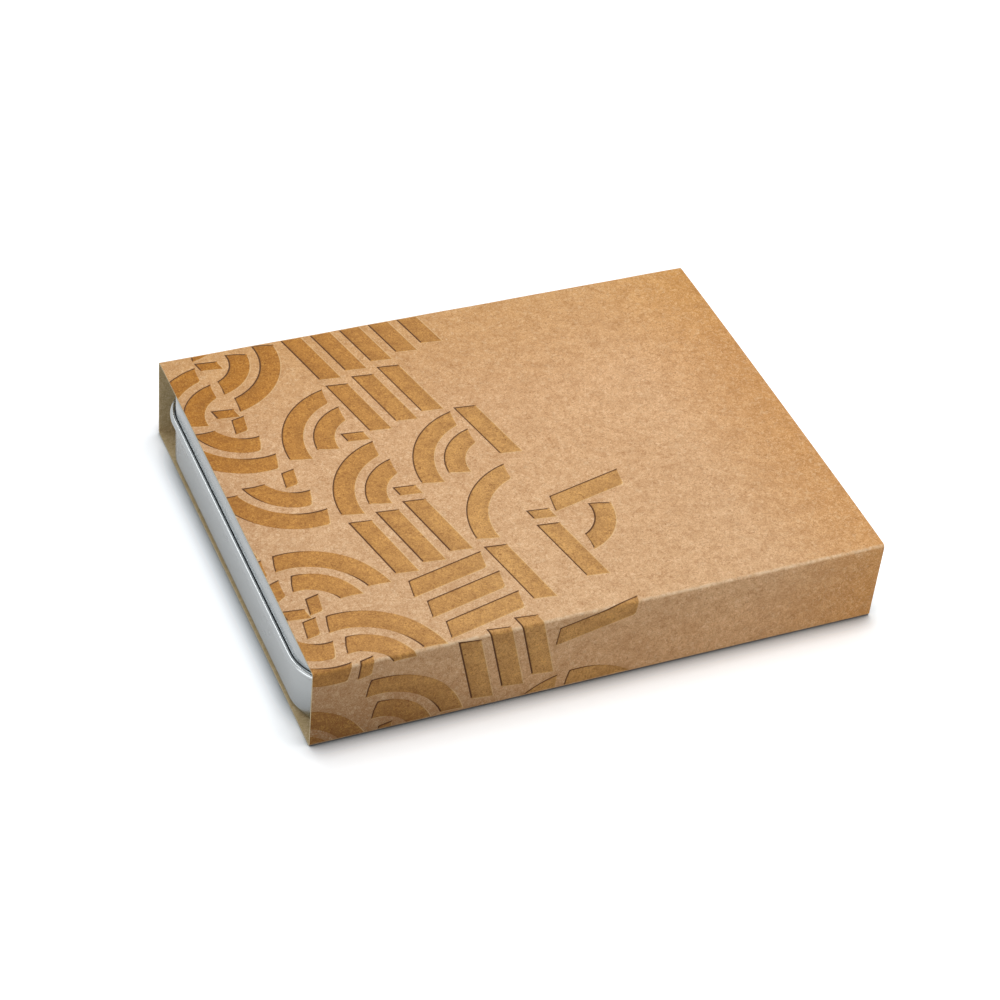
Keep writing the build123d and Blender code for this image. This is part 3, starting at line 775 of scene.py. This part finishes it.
def makeFoam(node, body):  # the CAD block with its cut edges eased, as a knife leaves them
    piece = frame["nodes"][node].copy()
    piece.data = piece.data.copy()
    piece.name = piece.data.name = "soft_" + node
    bpy.context.collection.objects.link(piece)
    piece.parent = None
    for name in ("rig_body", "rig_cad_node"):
        del piece[name]
    activate(piece)
    bpy.ops.object.mode_set(mode="EDIT")
    bpy.ops.mesh.select_all(action="SELECT")
    bpy.ops.mesh.remove_doubles(threshold=foamValues["mergeWithin"])
    bpy.ops.mesh.dissolve_limited(angle_limit=math.radians(1))
    bpy.ops.object.mode_set(mode="OBJECT")
    applyModifier(piece, "BEVEL", width=foamValues["edge"], segments=foamValues["edgeSegments"],
                  limit_method="ANGLE", angle_limit=math.radians(50), use_clamp_overlap=True)
    activate(piece)
    bpy.ops.object.shade_smooth_by_angle(angle=math.radians(35))
    dress(piece, foamBlack)
    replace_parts(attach(piece, body), node)


makeFoam("foam_insert", "tin")
makeFoam("lid_pad", "lid")
print("foam cut")


# pen, nibs, ink and the other pieces inside, whose CAD shapes stay

finishes = {
    "hinge_pin": (wire, "steel_wire"),
    "leaflet": (paper, "white_paper"),
    "barrel": (glossBlack, "black_plastic"),
    "cap": (glossBlack, "black_plastic"),
    "section": (glossBlack, "black_plastic"),
    "feed": (mattBlack, "matt_plastic"),
    "finial": (nibSteel, "bright_steel"),
    "clip": (nibSteel, "bright_steel"),
    "nib": (nibSteel, "bright_steel"),
    "cartridge": (inkPlastic, "ink_plastic"),
}
for name, node in frame["nodes"].items():
    if not node.hide_render:
        word = [w for w in finishes if w in name][-1]
        material, slotName = finishes[word]
        node.data.materials.clear()
        node.data.materials.append(material)
print("inner pieces finished")


# studio: pale floor, soft boxes and the photograph's view

stageValues = {
    "floor": 3.0,  # metres
    "skyLevel": 0.31,
    "floorSeen": (1.16, 1.19, 1.22, 1),  # paper sweep as the camera sees it
    "floorPaintedShadow": (0.2, 0.22, 0.24, 1),  # and right beside the box: painted contact shadow, where little light gets in
    "closeReach": 6.5 * mm,
    "paintedShadowFall": 0.6,  # power of the change from the painted shadow to the plain floor
    "paintedShadowRays": 16,
    "farFloor": (0.4, 1.5, 4.0),  # metres from, to and gain: the floor runs out into white
    "floorMirrored": (0.9, 0.9, 0.9, 1),  # and as metal and glass do
    "floorBounce": (0.56, 0.57, 0.58, 1),
    "azimuth": math.radians(-26.384),
    "elevation": math.radians(40.963),
    "roll": math.radians(6.211),
    "distance": 0.8079,
    "target": Vector((0.41, 6.28, 3.03)) * mm,
    "lens": 98.72,
}


def makeStage():
    values = stageValues
    bpy.ops.mesh.primitive_plane_add(size=values["floor"])
    floor = bpy.context.object
    floor.name = "paperSweep"
    material, tree, shader = newMaterial("whiteSweep", {"Roughness": 0.95, "Specular IOR Level": 0.0})
    rays = add(tree, "LightPath").outputs
    # painted contact shadow: the floor's colour for the camera darkens where the AO node finds the box
    # close
    near = add(tree, "AmbientOcclusion", {"Distance": values["closeReach"]},
               samples=values["paintedShadowRays"]).outputs["AO"]
    clear = add(tree, "MapRange", {0: near, 1: 0.5, 2: 1.0}).outputs[0]
    clear = add(tree, "Math", {0: clear, 1: values["paintedShadowFall"]}, operation="POWER").outputs[0]
    seen = add(tree, "Mix", {0: clear, 6: values["floorPaintedShadow"], 7: values["floorSeen"]},
               data_type="RGBA").outputs[2]
    away = add(tree, "VectorMath", {0: add(tree, "TexCoord").outputs["Object"]},
               operation="LENGTH").outputs["Value"]
    farFrom, farTo, farGain = values["farFloor"]
    gain = add(tree, "MapRange", {0: away, 1: farFrom, 2: farTo, 3: 1.0, 4: farGain}).outputs[0]
    seen = add(tree, "VectorMath", {0: seen, "Scale": gain}, operation="SCALE").outputs[0]
    tone = values["floorBounce"]
    for ray, level in (("Is Glossy Ray", values["floorMirrored"]),
                       ("Is Transmission Ray", values["floorMirrored"]), ("Is Camera Ray", seen)):
        tone = add(tree, "Mix", {0: rays[ray], 6: tone, 7: level}, data_type="RGBA").outputs[2]
    tree.links.new(tone, shader.inputs["Base Color"])
    dress(floor, material)

    world = bpy.data.worlds.new("studio")
    bpy.context.scene.world = world
    world.use_nodes = True
    tree = world.node_tree
    rays = add(tree, "LightPath").outputs
    seen = rays["Is Camera Ray"]
    for ray in ("Is Glossy Ray", "Is Transmission Ray"):
        seen = add(tree, "Math", {0: seen, 1: rays[ray]}, operation="MAXIMUM").outputs[0]
    level = add(tree, "MapRange", {0: seen, 3: values["skyLevel"], 4: 1.0}).outputs[0]
    tree.links.new(level, tree.nodes["Background"].inputs["Strength"])
    tree.nodes["Background"].inputs["Color"].default_value = (1, 1, 1, 1)


lamps = {
    "overheadBox": {"place": (0.05, 0.1, 1.2), "size": 1.0, "watts": 10.4},
    "backBox": {"place": (0.0, 0.8, 0.95), "size": 0.5, "watts": 2.2},
    "sideFill": {"place": (0.3, -0.26, 0.1), "size": 0.16, "watts": 0.39, "colour": (1.0, 0.92, 0.8),
                 "mirrored": False},  # no glare of it on the tin's lid when that is slid out
    "leftFill": {"place": (-0.25, -0.07, 0.08), "size": 0.1, "watts": 0.05},
}


def makeLamps():
    for name, values in lamps.items():
        place = Vector(values["place"])
        bpy.ops.object.light_add(type="AREA", location=place)
        lamp = bpy.context.object
        lamp.name = name
        lamp.data.size = values["size"]
        lamp.data.energy = values["watts"]
        lamp.data.color = values.get("colour", (1, 1, 1))
        lamp.visible_glossy = values.get("mirrored", True)
        lamp.rotation_euler = (-place).to_track_quat("-Z", "Y").to_euler()


def makeCamera():
    values = stageValues
    azimuth, elevation = values["azimuth"], values["elevation"]
    back = Vector((math.sin(azimuth) * math.cos(elevation),
                   -math.cos(azimuth) * math.cos(elevation), math.sin(elevation)))
    right = (-back).cross(Vector((0, 0, 1))).normalized()
    up = right.cross(-back)
    cosRoll, sinRoll = math.cos(values["roll"]), math.sin(values["roll"])
    rolledRight = right * cosRoll + up * sinRoll
    rolledUp = up * cosRoll - right * sinRoll
    bpy.ops.object.camera_add()
    camera = bpy.context.object
    turned = Matrix((rolledRight, rolledUp, back)).transposed().to_4x4()
    camera.matrix_world = Matrix.Translation(values["target"] + back * values["distance"]) @ turned
    camera.data.lens = values["lens"]
    camera.data.sensor_width = 36
    camera.data.clip_start = 0.05
    bpy.context.scene.camera = camera


makeStage()
makeLamps()
makeCamera()
bpy.context.scene.view_settings.view_transform = "Standard"
print("studio set")
